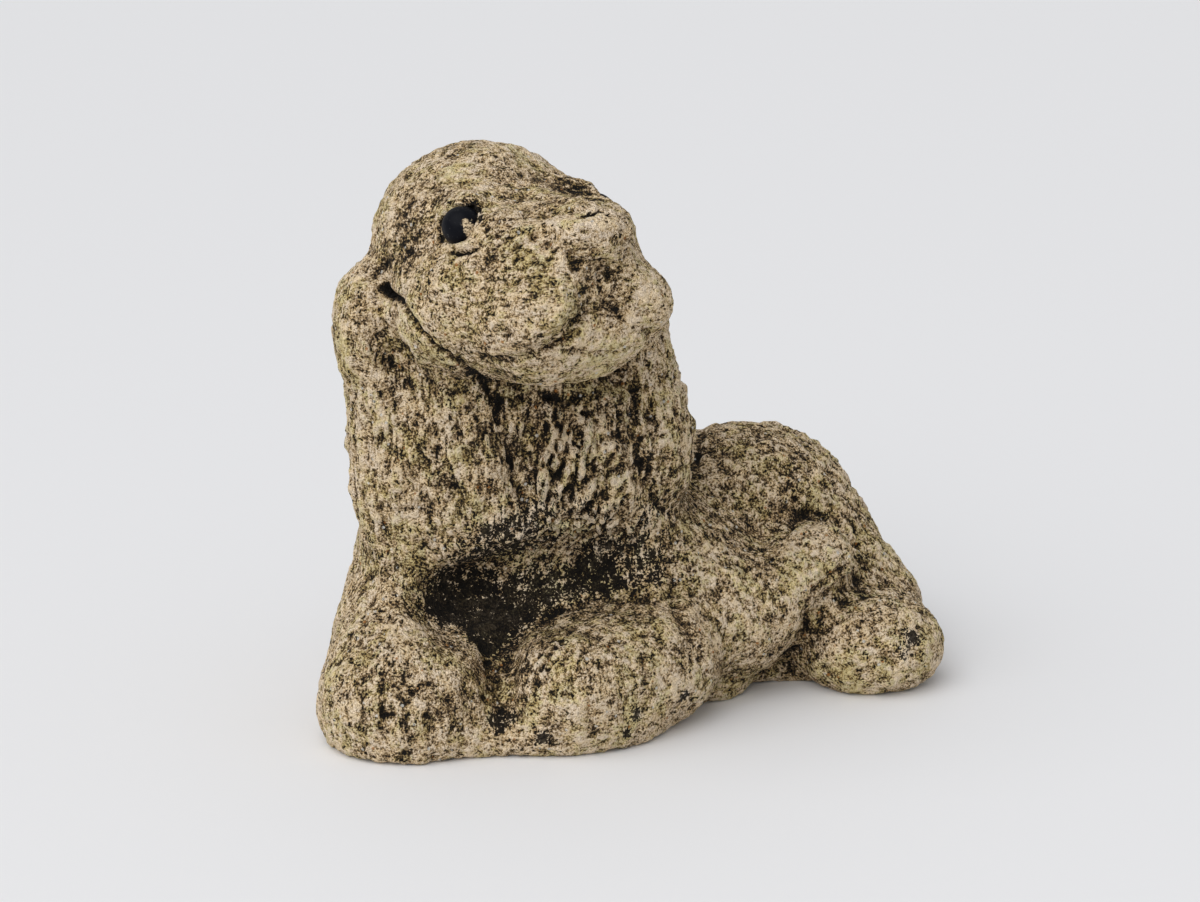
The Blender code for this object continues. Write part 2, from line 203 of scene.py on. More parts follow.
world = bpy.data.worlds.new("studio_walls")
world.use_nodes = True
world.node_tree.nodes["Background"].inputs["Color"].default_value = WALL_COLOUR
world.node_tree.nodes["Background"].inputs["Strength"].default_value = WALL_LIGHT
bpy.context.scene.world = world
ceiling = bpy.data.lights.new("ceiling", "SUN")
ceiling.energy = CEILING_LIGHT
ceiling.angle = CEILING_SPREAD
soft_box = bpy.data.lights.new("soft_box", "AREA")
soft_box.energy = BOX_LIGHT
soft_box.size = BOX_WIDTH
for lamp, place in ((ceiling, CEILING_FROM), (soft_box, BOX_PLACE)):
    light = bpy.data.objects.new(lamp.name, lamp)
    light.location = place
    light.rotation_euler = Vector(place).to_track_quat("Z", "Y").to_euler()
    bpy.context.scene.collection.objects.link(light)

# The casting: one piece of cast stone, a mortar of sand, shell and lime rammed into a mould.
# Weather has washed the skin off it, so the grains stand proud and the carving is blurred.
MM = 0.001
GRID = 1.66 * MM
SKIN_TURNS = 8
EVEN_TURNS = 4
MUZZLE_FROM_EYES = np.array([8, -22, -14]) * MM
FACE_REACH = 52 * MM
FINE_REACH = 50 * MM
FINE_TURNS = 2

cad_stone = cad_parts["spaniel_casting"]
stone_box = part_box("spaniel_casting")
bm = bmesh.new()
bm.from_mesh(cad_stone.data)
bmesh.ops.remove_doubles(bm, verts=bm.verts, dist=1e-6)
bare = bpy.data.meshes.new("spaniel_stone")
bm.to_mesh(bare)
seen_surface = BVHTree.FromBMesh(bm)
bm.free()
stone = bpy.data.objects.new("spaniel_stone", bare)
bpy.context.scene.collection.objects.link(stone)
grid = stone.modifiers.new("grid", "REMESH")
grid.mode = "VOXEL"
grid.voxel_size = GRID
bpy.context.view_layer.update()
skin = bpy.data.meshes.new_from_object(stone.evaluated_get(bpy.context.evaluated_depsgraph_get()))
skin.name = "spaniel_stone"
stone.modifiers.remove(grid)
stone.data = skin
bpy.data.meshes.remove(bare)


def read_skin():
    """The skin's points, the two ends of each edge and each point's number of neighbours."""
    points = np.empty(len(skin.vertices) * 3)
    skin.vertices.foreach_get("co", points)
    edge_ends = np.empty(len(skin.edges) * 2, np.int32)
    skin.edges.foreach_get("vertices", edge_ends)
    neighbours = np.bincount(edge_ends, minlength=len(skin.vertices))[:, None]
    return points.reshape(-1, 3), edge_ends.reshape(-1, 2), neighbours


def neighbour_means(values):
    """The mean of each point's neighbours on the skin."""
    total = np.empty_like(values)
    for column in range(values.shape[1]):
        to_first = np.bincount(edge_ends[:, 0], values[edge_ends[:, 1], column], len(values))
        to_second = np.bincount(edge_ends[:, 1], values[edge_ends[:, 0], column], len(values))
        total[:, column] = to_first + to_second
    return total / neighbours


def outward(places):
    """The skin's outward direction at each point."""
    skin.vertices.foreach_set("co", places.ravel())
    skin.update()
    found = np.empty(len(places) * 3, np.float32)
    skin.vertices.foreach_get("normal", found)
    return found.reshape(-1, 3).astype(float)


def photo_ray(column, row):
    """The direction from the camera through a pixel of the photograph."""
    focal = LENS / SENSOR * PHOTO_SIZE[0]
    across = (column - PHOTO_SIZE[0] / 2) / focal
    upward = (PHOTO_SIZE[1] / 2 - row) / focal
    return (Vector((1, 0, 0)) * across + PICTURE_UP * upward - BACK).normalized()


def seen_at(column, row):
    """The place on the casting that the photograph shows at a pixel."""
    hit = seen_surface.ray_cast(camera_place, photo_ray(column, row))[0]
    if hit is None:
        past = camera_place + photo_ray(column, row) * CAMERA_AWAY
        hit = seen_surface.find_nearest(past)[0]
    return np.array(hit)


def near(centre, reach):
    """How close each point is to a centre: 1 on it, fading to nought past its reach."""
    return np.exp(-((np.linalg.norm(points - centre, axis=1) / reach) ** 2))


between_eyes = (np.sum(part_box("left_eye"), axis=0) + np.sum(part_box("right_eye"), axis=0)) / 4
muzzle = between_eyes + MUZZLE_FROM_EYES
points, edge_ends, neighbours = read_skin()
face = near(muzzle, FACE_REACH)

# Smooths the facets away, and after the even turns less so on the face, where they are small
for turn in range(SKIN_TURNS):
    strength = 0.5 * (1 - 0.75 * face if turn >= EVEN_TURNS else np.ones(len(points)))
    points += strength[:, None] * (neighbour_means(points) - points)
skin.vertices.foreach_set("co", points.ravel())


def carved_fine(edge):
    """Whether an edge lies on the front of the head, where the carving is finer than elsewhere."""
    close = all(np.linalg.norm(np.array(end.co) - muzzle) < FINE_REACH for end in edge.verts)
    return close and edge.verts[0].normal.dot(BACK) > 0


bm = bmesh.new()
bm.from_mesh(skin)
fine = [edge for edge in bm.edges if carved_fine(edge)]
bmesh.ops.subdivide_edges(bm, edges=fine, cuts=1, use_grid_fill=True)
bm.to_mesh(skin)
bm.free()
points, edge_ends, neighbours = read_skin()
for turn in range(FINE_TURNS):
    points += 0.5 * (neighbour_means(points) - points)
face = near(muzzle, FACE_REACH)


def followed(path, width, fade=0.2, step=4):
    """How close each point is to a path of pixels cast on to the stone.

    It is 1 on the path, fades to nought past its width in mm, and weakens towards the two ends
    over the share of the path that fade says.
    """
    pixels = [np.array(path[0], float)]
    for start, end in zip(path, path[1:]):
        start, end = np.array(start, float), np.array(end, float)
        count = max(1, round(np.linalg.norm(end - start) / step))
        pixels += [start + (end - start) * (turn + 1) / count for turn in range(count)]
    trail = np.array([seen_at(*pixel) for pixel in pixels])
    lengths = np.linalg.norm(np.diff(trail, axis=0), axis=1)
    so_far = np.concatenate([[0], np.cumsum(lengths)]) / lengths.sum()
    reach = 3 * width * MM
    inside = (points > trail.min(axis=0) - reach) & (points < trail.max(axis=0) + reach)
    close = inside.all(axis=1)
    here = points[close]
    nearest = np.full(len(here), np.inf)
    share = np.zeros(len(here))
    for start, end, first, last in zip(trail, trail[1:], so_far, so_far[1:]):
        leg = end - start
        along = np.clip((here - start) @ leg / max(leg @ leg, 1e-12), 0, 1)
        away = np.linalg.norm(here - start - along[:, None] * leg, axis=1)
        closer = away < nearest
        nearest[closer] = away[closer]
        share[closer] = (first + along * (last - first))[closer]
    strength = np.exp(-((nearest / (width * MM)) ** 2))
    if fade:
        strength *= 0.15 + 0.85 * np.clip(np.minimum(share, 1 - share) / fade, 0, 1)
    everywhere = np.zeros(len(points))
    everywhere[close] = strength
    return everywhere


# Carved lines: a path of pixels, its width, its depth, both in mm, and how dark it is painted,
# partly dirt in the groove and partly painted shade; the darkest are painted black as shadow.
# A depth below nought raises a ridge, and a darkness below nought paints it lighter, a painted
# highlight. A fifth value is its fade, where it doesn't fade as usual.
FACE_LINES = (
    # Nose, lips and mouth, then the nostrils
    (((598, 268), (600, 284), (603, 300)), 1.6, 1.4, 0.2),
    (((596, 292), (588, 306), (578, 320), (566, 338), (552, 347), (536, 351)), 1.9, 2.0, 0.55),
    (((566, 341), (552, 347), (540, 351)), 0.9, 1.3, 1.0),
    (((596, 306), (606, 303), (616, 308), (627, 324)), 2.0, 1.4, 0.55),
    (((628, 298), (624, 316), (634, 327), (650, 334)), 1.6, 1.6, 0.3),
    (((556, 350), (585, 354), (618, 353), (640, 346)), 1.3, 1.2, 0.5),
    (((562, 248), (571, 259), (584, 270)), 2.6, 2.2, 0.4),
    (((596, 260), (606, 272), (616, 284)), 2.2, 2.0, 0.45),
    # Fold over the bridge, brow and the far eye's slit
    (((498, 225), (512, 218), (530, 214), (548, 215), (566, 209), (584, 213)), 1.5, 1.2, 0.45),
    (((520, 196), (545, 198), (570, 204)), 2.4, 1.0, 0.4),
    (((582, 214), (592, 212), (601, 210), (610, 213), (617, 219)), 0.8, 1.8, 1.8),
    # Wrinkles from the bridge down to the cheek
    (((552, 240), (542, 248), (533, 260), (522, 272)), 1.0, 1.3, 0.35),
    (((500, 219), (490, 226), (482, 236)), 0.8, 1.0, 0.5),
    (((532, 250), (520, 257), (508, 268)), 0.8, 1.0, 0.5),
    (((538, 237), (524, 243), (510, 255)), 0.8, 1.2, 0.35),
    (((526, 230), (512, 235), (498, 246), (486, 254)), 0.8, 1.2, 0.35),
    (((514, 224), (503, 230), (492, 240)), 0.8, 1.1, 0.5),
    (((560, 246), (551, 256), (546, 268)), 0.9, 0.8, 0.5),
    # Round the near eye
    (((446, 247), (456, 253), (470, 253), (482, 245)), 0.8, 2.0, 1.3),
    (((443, 242), (438, 232), (439, 220), (446, 209)), 1.0, 2.4, 1.5),
    (((456, 203), (467, 201), (477, 206), (482, 215)), 1.4, 2.2, 1.5),
    (((467, 206), (474, 210), (478, 217), (478, 223)), 1.1, 2.0, 1.9),
    # Throat
    (((534, 394), (560, 399), (585, 397), (606, 390)), 1.2, 0.9, 0.8),
    (((474, 355), (496, 360), (520, 360)), 1.5, 1.6, 0.9),
    # Ridges: the eyelids, the bridge, the chin, the nose and the near lip
    (((446, 212), (454, 205), (465, 205), (475, 212)), 0.9, -1.4, -0.3),
    (((444, 241), (455, 246), (467, 246), (478, 240)), 1.4, -1.5, -0.3),
    (((500, 241), (524, 231), (550, 225), (590, 225), (622, 228)), 2.4, -2.0, -0.6),
    (((565, 343), (595, 344), (625, 342), (642, 338)), 2.2, -0.8, -0.2),
    (((548, 254), (556, 243), (575, 236), (600, 236)), 2.2, -0.6, 0.0),
    (((560, 276), (566, 292), (560, 314), (545, 330)), 4.0, -1.4, -0.4),
)
BODY_LINES = (
    # Near ear, and the groove between it and the cheek and neck
    (((387, 289), (391, 294)), 1.5, 3.2, 1.2, 0),
    (((388, 288), (399, 302), (417, 330), (438, 350), (458, 362)), 1.5, 3.2, 0.7, 0),
    (((458, 362), (485, 383), (502, 406), (512, 432)), 2.4, 3.2, 1.0),
    (((512, 432), (514, 453), (515, 494)), 1.8, 1.4, 0.3),
    (((350, 284), (368, 288), (387, 308), (404, 335), (425, 364), (449, 390), (473, 408)),
     4.2, -1.8, -0.3),
    (((346, 304), (362, 322), (380, 348), (402, 376), (424, 402)), 3.0, 1.0, 0.2),
    (((388, 262), (380, 270), (370, 276)), 2.2, 1.6, 0.5),
    (((352, 384), (353, 430), (354, 500), (356, 560)), 2.0, 1.0, 0.2),
    (((380, 420), (383, 470), (386, 540)), 1.8, 0.8, 0.2),
    # Far ear
    (((633, 361), (636, 419), (641, 458), (652, 494), (664, 512), (684, 517)), 1.1, 1.8, 0.4),
    (((624, 366), (627, 420), (628, 487)), 1.6, -0.9, 0.0),
    (((700, 428), (697, 460), (690, 497)), 1.6, 1.6, 0.5),
    (((660, 380), (666, 420), (674, 470), (680, 494)), 4.0, -1.2, -0.3),
    # Haunch, knee and elbow
    (((777, 531), (800, 515), (818, 511), (836, 517), (846, 534), (858, 560)), 1.5, 1.0, -0.2),
    (((855, 566), (838, 574), (818, 590), (807, 612), (806, 645)), 2.0, 1.6, 0.3),
    (((674, 571), (671, 598), (682, 624), (700, 650), (706, 684)), 2.4, 1.1, 0.1),
    # Forelegs, toes and the streaks of hair on them
    (((482, 636), (487, 652), (492, 670)), 3.0, 2.0, 0.7),
    (((492, 670), (498, 706), (505, 742)), 2.6, 1.4, 0.1),
    (((520, 640), (556, 611), (600, 600), (656, 598), (684, 586)), 2.6, 1.6, 0.4),
    (((545, 690), (548, 715), (552, 742)), 2.4, 1.3, 0.2),
    (((590, 700), (592, 720), (595, 744)), 2.4, 1.2, 0.2),
    (((388, 700), (384, 725), (382, 748)), 2.6, 1.2, 0.2),
    (((430, 706), (430, 730), (432, 752)), 2.6, 1.0, 0.2),
    (((870, 640), (888, 655), (900, 674)), 2.4, 1.0, 0.2),
    (((560, 612), (540, 628), (526, 650), (520, 676)), 1.1, 0.8, 0.6),
    (((580, 622), (560, 640), (546, 664), (542, 690)), 1.1, 0.8, 0.5),
    (((604, 634), (584, 652), (572, 676), (570, 700)), 1.1, 0.7, 0.4),
    (((364, 668), (360, 700), (364, 732)), 1.1, 0.8, 0.5),
    (((384, 664), (380, 694), (382, 720)), 1.1, 0.8, 0.5),
    (((406, 668), (404, 700), (407, 734)), 1.1, 0.8, 0.5),
)
sunk = np.zeros(len(points))
stain = np.zeros(len(points))
crevice_shade = np.zeros(len(points))
for path, width, depth, dark, *fade in FACE_LINES + BODY_LINES:
    strength = followed(path, width, *fade)
    sunk += depth * MM * strength
    # Painted shade along the grooves, with dirt, and painted light along ridges below nought
    stain += dark * followed(path, 1.3 * width, *fade)
    # The darkest lines are painted black, as shadow in the crevice
    crevice_shade += max(dark - 0.8, 0) * 2 * strength
points -= outward(points) * sunk[:, None]


def clouds(places, size, seed):
    """Perlin noise at each place, with lumps of one size in metres."""
    moved = places / size + seed * 7.31
    return np.array([noise.noise(place) for place in moved.tolist()])


def combed(centre, reach, along, width, length, depth, seed):
    """Locks combed one way round a centre: how far they take each point inward."""
    along = np.array(along, float) / np.linalg.norm(along)
    share = near(centre, reach)
    close = share > 0.03
    here = points[close]
    bend = clouds(here, 4 * width, seed + 0.5)[:, None] * 0.6 * width
    down = here @ along
    spread = (here - down[:, None] * along) / width + down[:, None] * along / length + bend / width
    lines = np.array([noise.noise(place) for place in (spread + seed * 5.3).tolist()])
    sunk = np.zeros(len(points))
    sunk[close] = share[close] * depth * np.clip(1 - 2.2 * np.abs(lines), -0.6, 1)
    return sunk


# Hair combed into the ears, bib, nape and haunch: a pixel, the reach in mm, the way that it is
# combed, and the width, length and depth of its locks in mm. On the hidden sides a place in mm
# stands for the pixel.
COMBED = (
    ((372, 350), 22, (0.2, 0, -1), 2.6, 12, 0.7),
    ((440, 450), 30, (0.5, -0.1, -1), 2.4, 11, 0.9),
    ((380, 480), 34, (0.05, 0, -1), 2.6, 22, 0.5),
    ((575, 470), 32, (-0.25, 0, -1), 3.0, 14, 2.3),
    ((530, 420), 20, (0.2, 0, -1), 2.6, 12, 1.1),
    ((628, 430), 12, (0.0, 0, -1), 1.8, 26, 0.9),
    ((672, 420), 18, (0.2, 0, -1), 2.2, 12, 0.7),
    ((600, 530), 22, (-0.4, 0, -1), 2.8, 13, 2.2),
    ((800, 470), 42, (0.8, 0.1, -0.6), 3.4, 20, 0.9),
    ((815, 545), 24, (0.9, -0.2, -0.3), 2.6, 14, 0.9),
    ((880, 560), 34, (0.6, 0, -1), 3.2, 18, 0.8),
    ((730, 560), 26, (0.6, 0, -0.8), 3.0, 16, 0.8),
    ((400, 620), 26, (0.3, 0, -1), 3.0, 18, 0.7),
    ((395, 700), 20, (0.15, 0, -1), 2.6, 14, 0.7),
    ((550, 660), 18, (-0.5, -0.3, -1), 2.4, 13, 1.0),
)
HIDDEN_COMBED = (
    ((-45, 75, 120), 70, (0.05, 0.1, -1), 4.0, 26, 1.8),
    ((80, 90, 50), 45, (0.5, 0.2, -1), 3.6, 20, 1.5),
    ((-110, 0, 110), 50, (0.0, 0.1, -1), 3.4, 24, 1.5),
    ((15, 0, 130), 34, (0.1, 0.1, -1), 3.0, 20, 1.5),
)
patches = [(seen_at(*pixel), *way) for pixel, *way in COMBED]
patches += [(np.array(place) * MM, *way) for place, *way in HIDDEN_COMBED]
sunk = np.zeros(len(points))
hair = np.zeros(len(points))
for seed, (centre, reach, along, width, length, depth) in enumerate(patches):
    hair += near(centre, 1.2 * reach * MM)
    sunk += combed(centre, reach * MM, along, width * MM, length * MM, 1.4 * depth * MM, seed)
sunk = np.where(face > 0.75, 0.3 * sunk, sunk)
points -= outward(points) * sunk[:, None]

# Weathered relief: soft lumps, pits where the mortar has washed out, bits of gravel, and on the
# face, where the mesh is fine enough, crumbs of sand
BROAD_LUMP = 14 * MM
SMALL_LUMP = 6.5 * MM
PIT = 3.6 * MM
BIT = 2.9 * MM
CRUMB = 1.5 * MM
lumps = 0.45 * clouds(points, BROAD_LUMP, 1) + 0.5 * clouds(points, SMALL_LUMP, 2)
pits = np.clip(clouds(points, PIT, 3) - 0.12, 0, 1)
bits = clouds(points, BIT, 4)
crumbs = face * clouds(points, CRUMB, 5)
rough = (1.2 * lumps - 2.0 * pits + 0.6 * bits + 0.45 * crumbs) * MM
points += outward(points) * rough[:, None]

# The figure keeps within the solid's own box, and its underside stays flat
low, high = (np.array(corner) for corner in stone_box)
points = np.clip(points, low, high)
normals = outward(points)

# Painted shade: the stone is painted darker where its skin sees little of the sky,
# so the skin is measured for how much of the sky each point can't see
SKY_SKIN_SHARE = 0.06
SKY_RAYS = 40
SKY_LOWEST = 0.95
SKY_REACH = 60 * MM
SKY_START = 2 * MM


def shaded_from_sky():
    """How much of the sky each point can't see, from rays cast on a thinned copy of the skin."""
    thin = stone.modifiers.new("thin", "DECIMATE")
    thin.ratio = SKY_SKIN_SHARE
    thinned = stone.evaluated_get(bpy.context.evaluated_depsgraph_get())
    thin_skin = bpy.data.meshes.new_from_object(thinned)
    stone.modifiers.remove(thin)
    corners = [vertex.co for vertex in thin_skin.vertices]
    tree = BVHTree.FromPolygons(corners, [polygon.vertices for polygon in thin_skin.polygons])
    turns = np.arange(SKY_RAYS) + 0.5
    tilt = np.arccos(1 - turns / SKY_RAYS * SKY_LOWEST)
    spin = turns * math.pi * (1 + 5 ** 0.5)
    level = np.sin(tilt)
    fan = np.stack([np.cos(spin) * level, np.sin(spin) * level, np.cos(tilt)], axis=1)
    places = KDTree(len(thin_skin.vertices))
    hidden = np.zeros(len(thin_skin.vertices))
    for index, vertex in enumerate(thin_skin.vertices):
        places.insert(vertex.co, index)
        start = vertex.co + vertex.normal * SKY_START
        turn = np.array(vertex.normal.to_track_quat("Z", "Y").to_matrix())
        rays = fan @ turn.T
        stopped = sum(tree.ray_cast(start, Vector(ray), SKY_REACH)[0] is not None for ray in rays)
        hidden[index] = stopped / len(rays)
    places.balance()
    bpy.data.meshes.remove(thin_skin)
    found = np.empty(len(points))
    for index, place in enumerate(points.tolist()):
        nearby = places.find_n(place, 3)
        weights = [1 / (distance + 0.5 * MM) for _, _, distance in nearby]
        shares = [hidden[entry] * weight for (_, entry, _), weight in zip(nearby, weights)]
        found[index] = sum(shares) / sum(weights)
    return found


# How hollow each point is: how far it lies under a smoothed copy of the skin.
# The stone is painted darker by it, as painted shade in creases and pits
HOLLOW_TURNS = 6
HOLLOW_DEPTH = 0.35 * MM
# Painted shade where the sky is hidden
shelter = shaded_from_sky()
soft = points.copy()
for turn in range(HOLLOW_TURNS):
    soft += 0.6 * (neighbour_means(soft) - soft)
hollow = np.einsum("ij,ij->i", soft - points, normals) / HOLLOW_DEPTH

# Brown stains, black lichen and paler patches: a pixel, the reach in mm and how strong.
# The stains are partly painted shade, under the cheek and round the far brow; the black is partly
# painted shadow in the hollows; the pale patches are partly painted light on the tops
STAINS_AND_SHADES = (
    # head and ears' tops
    ((440, 350), 5, 0.6), ((395, 250), 12, 0.45), ((430, 205), 8, 0.5), ((450, 185), 7, 0.2),
    ((500, 190), 5, 0.5), ((555, 198), 7, 0.4), ((612, 308), 3, 0.4), ((582, 195), 6, 0.8),
    ((580, 262), 5, 0.4), ((605, 205), 4, 0.5), ((410, 232), 13, 0.9), ((402, 256), 9, 0.5),
    ((570, 186), 8, 0.9), ((355, 320), 9, 0.5), ((495, 265), 5, 0.5), ((530, 275), 5, 0.4),
    ((440, 290), 16, 0.25), ((500, 300), 12, 0.25),
    # neck, bib, ears and back
    ((570, 470), 7, 0.5), ((565, 420), 5, 0.6), ((525, 400), 6, 0.8), ((480, 378), 7, 0.8),
    ((652, 470), 5, 0.9), ((475, 378), 7, 0.7), ((750, 440), 22, 0.5), ((810, 470), 18, 0.45),
    ((850, 520), 14, 0.4), ((665, 430), 12, 0.35), ((665, 470), 12, 0.5), ((430, 420), 22, 0.25),
    # legs, paws and haunch
    ((400, 710), 26, 0.5), ((600, 660), 24, 0.3), ((530, 700), 18, 0.2), ((640, 620), 12, 0.4),
    ((760, 560), 16, 0.4), ((470, 560), 10, 0.5),
)
# Black lichen on the paws and haunch, and painted shadow: the black hollow under the bib and
# between the forelegs, and the shade under the far ear's tip
LICHENS_AND_SHADOWS = (
    # head and ears' tops
    ((389, 291), 1.8, 0.7), ((440, 352), 2.6, 0.6), ((588, 215), 1.6, 0.8), ((610, 304), 3, 0.5),
    ((418, 330), 2, 0.5), ((575, 180), 4, 0.4),
    # neck, bib, ears and back
    ((505, 550), 10, 0.75), ((540, 542), 9, 0.65), ((600, 545), 9, 0.7), ((640, 535), 7, 0.65),
    ((656, 510), 5, 0.8), ((672, 516), 4, 0.7), ((545, 500), 8, 0.45), ((490, 532), 8, 0.6),
    ((528, 522), 9, 0.6), ((568, 520), 8, 0.55), ((610, 515), 7, 0.4), ((480, 392), 4, 0.7),
    ((502, 412), 4, 0.7), ((560, 410), 4, 0.5), ((530, 402), 4, 0.5),
    # legs, paws and haunch
    ((470, 598), 17, 1.0), ((438, 606), 11, 1.0), ((500, 626), 12, 1.0), ((545, 590), 14, 1.0),
    ((600, 576), 12, 1.0), ((650, 564), 9, 0.9), ((486, 646), 7, 0.9), ((470, 560), 9, 0.6),
    ((448, 570), 5, 0.6), ((500, 720), 4.8, 1.7), ((543, 738), 2.6, 1.6), ((627, 733), 2.0, 1.5),
    ((637, 715), 2.8, 1.6), ((685, 695), 2.6, 1.5), ((913, 638), 3.6, 1.6), ((905, 655), 2.6, 1.2),
    ((853, 578), 3.0, 0.35), ((818, 617), 3.0, 0.6),
)
# Paler stone, and painted light on the tops that face the light: the crown, the brow and the
# bridge
PALES_AND_LIGHT = (
    # head and ears' tops
    ((470, 116), 14, 1.5), ((455, 168), 12, 1.2), ((500, 140), 11, 1.0), ((655, 300), 14, 1.2),
    ((540, 320), 10, 0.4), ((525, 252), 11, 1.1), ((600, 228), 8, 1.3), ((480, 135), 15, 1.3),
    ((525, 150), 13, 1.0), ((430, 145), 13, 0.8), ((555, 222), 7, 0.8), ((389, 361), 5, 0.9),
    ((380, 310), 9, 0.5), ((600, 352), 12, 1.2), ((640, 330), 8, 0.6),
    # neck, bib, ears and back
    ((570, 378), 17, 1.0), ((366, 480), 16, 0.8), ((366, 420), 12, 0.7), ((840, 535), 7, 0.4),
    ((838, 515), 5, 1.4), ((535, 520), 9, 0.2), ((810, 550), 9, 0.4),
    # legs, paws and haunch
    ((640, 640), 14, 0.2), ((497, 692), 6, 1.2), ((502, 745), 4, 1.0), ((720, 600), 20, 0.2),
)


def patched(spots):
    """The sum of some round patches at each point."""
    return sum(strength * near(seen_at(*pixel), reach * MM) for pixel, reach, strength in spots)


painted = {
    "shelter": shelter,
    "hollow": hollow,
    "stain": stain + patched(STAINS_AND_SHADES),
    "lichen": patched(LICHENS_AND_SHADOWS) + crevice_shade,
    "pale": patched(PALES_AND_LIGHT),
    "hair": np.clip(hair, 0, 1),
}
for name, values in painted.items():
    layer = skin.attributes.new(name, "FLOAT", "POINT")
    layer.data.foreach_set("value", values.astype(np.float32))
skin.polygons.foreach_set("use_smooth", np.ones(len(skin.polygons), bool))

CHALK = (1.0, 0.855, 0.645, 1)
LIME = (0.76, 0.60, 0.39, 1)
BUFF = (0.46, 0.335, 0.185, 1)
OCHRE = (0.22, 0.152, 0.078, 1)
EARTH = (0.070, 0.047, 0.025, 1)
# Near-black, for lichen and for painted shadow
LICHEN_AND_SHADE = (0.008, 0.006, 0.004, 1)
ALGAE_TINT = (0.82, 0.87, 0.62, 1)
WARM_TINT = (1.0, 0.90, 0.74, 1)
COLD_TINT = (0.98, 0.93, 0.92, 1)
RUST = (0.45, 0.18, 0.04, 1)
SHELL = (0.82, 0.78, 0.70, 1)
RELIEF_DEPTH = 3.5 * MM
DRIFT = 40 * MM
BLOT = 10.5 * MM
FLECK = 3.6 * MM
SAND = 0.95 * MM
STREAK = 1.5 * MM
DRAWN_DOWN = (1, 1, 0.20)
DRAWN_ACROSS = (0.25, 0.6, 1)
MOSS = 14 * MM
TINT = 5 * MM
PEBBLE = 2.4 * MM
GRIT_GRAIN = 1.6 * MM


def weathered_stone():
    """Sand and lime with grains of shell and rust, algae, black lichen, painted shade and painted
    light.
    """
    stone = Recipe("weathered_cast_stone")
    drift = stone.cloud(DRIFT, 2.0, 0.5)
    blot = stone.cloud(BLOT, 3.0, 0.6, shift=0.3)
    fleck = stone.cloud(FLECK, 3.0, 0.65, shift=0.7)
    sand = stone.cloud(SAND, 1.5, 0.8, shift=1.1)
    down = stone.cloud(STREAK, 2.0, 0.6, shift=1.6, drawn=DRAWN_DOWN)
    across = stone.cloud(STREAK, 2.0, 0.6, shift=2.3, drawn=DRAWN_ACROSS)
    hair = stone.painted("hair")
    streak = down * hair + across * (1 - hair)

    # Dirt is about nought on clean stone, and the grain of the stone is added to it. Besides the
    # stains it holds painted shade where the sky is hidden, in hollows and along carved lines, and
    # the painted light of the pale patches lifts it
    stain = stone.painted("stain")
    dirt_shade_and_light = stain * 0.24 + stain * (streak - 0.45) * 0.9 + (stone.painted("shelter") - 0.45) * 0.40
    dirt_shade_and_light = dirt_shade_and_light + stone.painted("hollow") * 0.20 - stone.painted("pale") * 0.17
    dirt_shade_and_light = dirt_shade_and_light + (drift - 0.5) * 0.30 + (blot - 0.5) * 1.30
    speckle_shade_and_light = (fleck - 0.5) * 1.15 + (sand - 0.5) * 2.6 + (streak - 0.5) * 1.3 + dirt_shade_and_light

    base = stone.toned(speckle_shade_and_light, (
        (-0.50, CHALK),
        (-0.24, LIME),
        (-0.06, BUFF),
        (0.09, OCHRE),
        (0.27, EARTH),
        (0.52, LICHEN_AND_SHADE),
    ))
    moss = stone.cloud(MOSS, 3.0, 0.6, shift=1.9) + (fleck - 0.5) * 0.7 + (streak - 0.5) * 0.6
    base = stone.mixed(moss.between(0.44, 0.66) * 0.8, base, ALGAE_TINT, "MULTIPLY")
    cool = stone.cloud(TINT, 3.0, 0.6, shift=2.9).between(0.38, 0.62)
    base = stone.mixed(0.75, base, stone.mixed(cool, WARM_TINT, COLD_TINT), "MULTIPLY")
    crust_and_shade = stone.painted("lichen") * 0.9 + (blot - 0.5) * 0.8 + (fleck - 0.5) * 2.2
    crust_and_shade = crust_and_shade + (streak - 0.5) * 2.4 + (sand - 0.5) * 2.6
    crust_and_shade = (crust_and_shade - stone.painted("pale") * 0.25).between(0.42, 0.62)
    # Blackened by lichen crust and by painted shadow in the hollows and the darkest carved lines
    base = stone.mixed(crust_and_shade * 0.94, base, LICHEN_AND_SHADE)
    pebbles = stone.grains(PEBBLE, "Color", shift=0.5)
    chance = stone.node("ShaderNodeSeparateColor", {}, {0: pebbles}, "Green")
    inside = (1 - stone.grains(PEBBLE, "Distance", shift=0.5).between(0.20, 0.34)) * (1 - crust_and_shade)
    shell = chance.between(0.955, 0.960) * inside
    rust = (1 - chance.between(0.025, 0.030)) * inside
    base = stone.mixed(shell * 0.8, base, SHELL)
    base = stone.mixed(rust * 0.8, base, RUST)
    height = 0.3 - stone.grains(GRIT_GRAIN, "Distance") * 0.25
    height = height - sand * 0.9 - fleck * 0.9 - streak * 0.5
    stone.shade(Base_Color=base, Roughness=0.93, Specular_IOR_Level=0.25)
    stone.shade(Normal=stone.relief(height, RELIEF_DEPTH))
    return stone.material


skin.materials.clear()
skin.materials.append(weathered_stone())
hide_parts("spaniel_casting")
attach(stone, "root")

# The eyes: dark glass balls pressed into sockets while the stone was soft.
# Grit has stuck to the nearer one and stands a little proud of the glass.
EYE_RINGS = 64
EYE_GLASS = (0.003, 0.0035, 0.006, 1)
DUST = (0.30, 0.29, 0.27, 1)
DUST_SPECK = 1.0 * MM
SAND_SPECK = 0.9 * MM
CRUST_LUMP = 1.6 * MM
CRUST_BUMP = 1.2 * MM
CRUST_RELIEF = 0.8 * MM
GRIT_HEIGHT = 0.9 * MM
GRIT_AT = (((470, 228), 3.0), ((473, 236), 1.8), ((463, 242), 0.9), ((465, 221), 1.1))


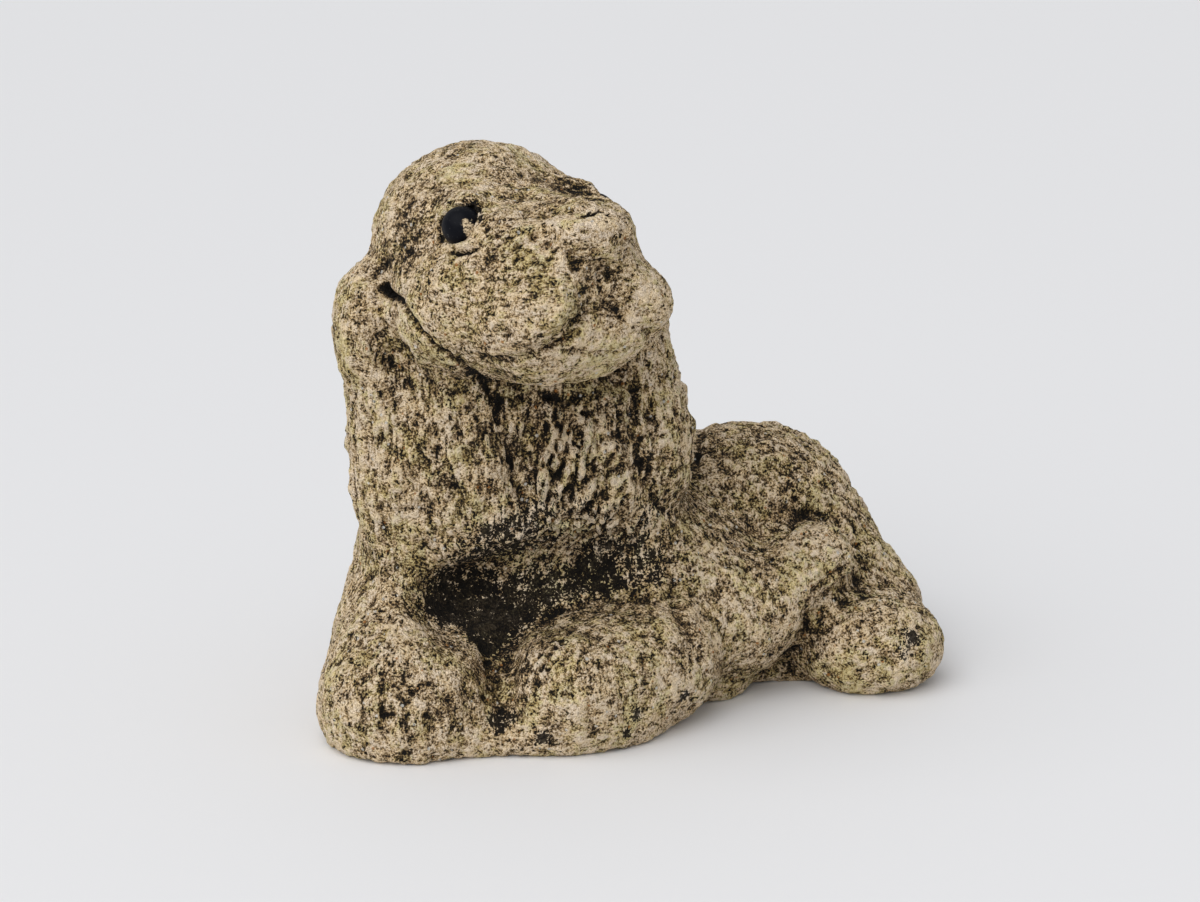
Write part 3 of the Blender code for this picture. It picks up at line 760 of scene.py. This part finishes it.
def dark_glass(name):
    """Blue-black glass, dusty, with stone-coloured grit where the mesh carries it."""
    glass = Recipe(name)
    dust = glass.cloud(DUST_SPECK, 3.0, 0.7).between(0.62, 0.74)
    grit = glass.painted("grit") + (glass.cloud(CRUST_LUMP, 3.0, 0.75) - 0.5) * 1.5
    grit = grit.between(0.44, 0.54)
    earthy = glass.cloud(SAND_SPECK, 3.0, 0.7, shift=0.4).between(0.42, 0.60)
    sandy = glass.mixed(earthy, LIME, EARTH)
    base = glass.mixed(grit, glass.mixed(dust * 0.30, EYE_GLASS, DUST), sandy)
    roughness = 0.42 + dust * 0.15 + grit * 0.4
    glass.shade(Base_Color=base, Roughness=roughness, Specular_IOR_Level=0.08)
    rough = glass.cloud(SAND_SPECK, 3.0, 0.7) * (grit * 0.9 + 0.1)
    glass.shade(Normal=glass.relief(rough, CRUST_RELIEF))
    return glass.material


for side in ("left_eye", "right_eye"):
    low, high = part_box(side)
    centre = (low + high) / 2
    radius = max(high - low) / 2
    bm = bmesh.new()
    bmesh.ops.create_uvsphere(bm, u_segments=2 * EYE_RINGS, v_segments=EYE_RINGS, radius=radius)
    for vertex in bm.verts:
        vertex.co += centre
    bead_mesh = bpy.data.meshes.new(side + "_bead")
    bm.to_mesh(bead_mesh)
    bm.free()
    bead_points = np.array([vertex.co for vertex in bead_mesh.vertices])
    grit = np.zeros(len(bead_points))
    if side == "right_eye":
        for pixel, reach in GRIT_AT:
            spot = camera_place + photo_ray(*pixel) * ((centre - camera_place).length - radius)
            grit += np.exp(-((np.linalg.norm(bead_points - spot, axis=1) / (reach * MM)) ** 2))
    grit = np.clip(grit, 0, 1)
    bumpy = np.array([noise.noise(Vector(place) / CRUST_BUMP) for place in bead_points])
    away = (bead_points - np.array(centre)) / radius
    bead_points += away * (np.clip(grit * 1.6 - 0.5 + 0.3 * bumpy, 0, 1) * GRIT_HEIGHT)[:, None]
    bead_mesh.vertices.foreach_set("co", bead_points.ravel())
    layer = bead_mesh.attributes.new("grit", "FLOAT", "POINT")
    layer.data.foreach_set("value", grit.astype(np.float32))
    bead_mesh.polygons.foreach_set("use_smooth", np.ones(len(bead_mesh.polygons), bool))
    bead_mesh.materials.append(dark_glass(side + "_dark_glass"))
    bead = bpy.data.objects.new(side + "_bead", bead_mesh)
    bpy.context.scene.collection.objects.link(bead)
    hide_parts(side)
    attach(bead, "root")
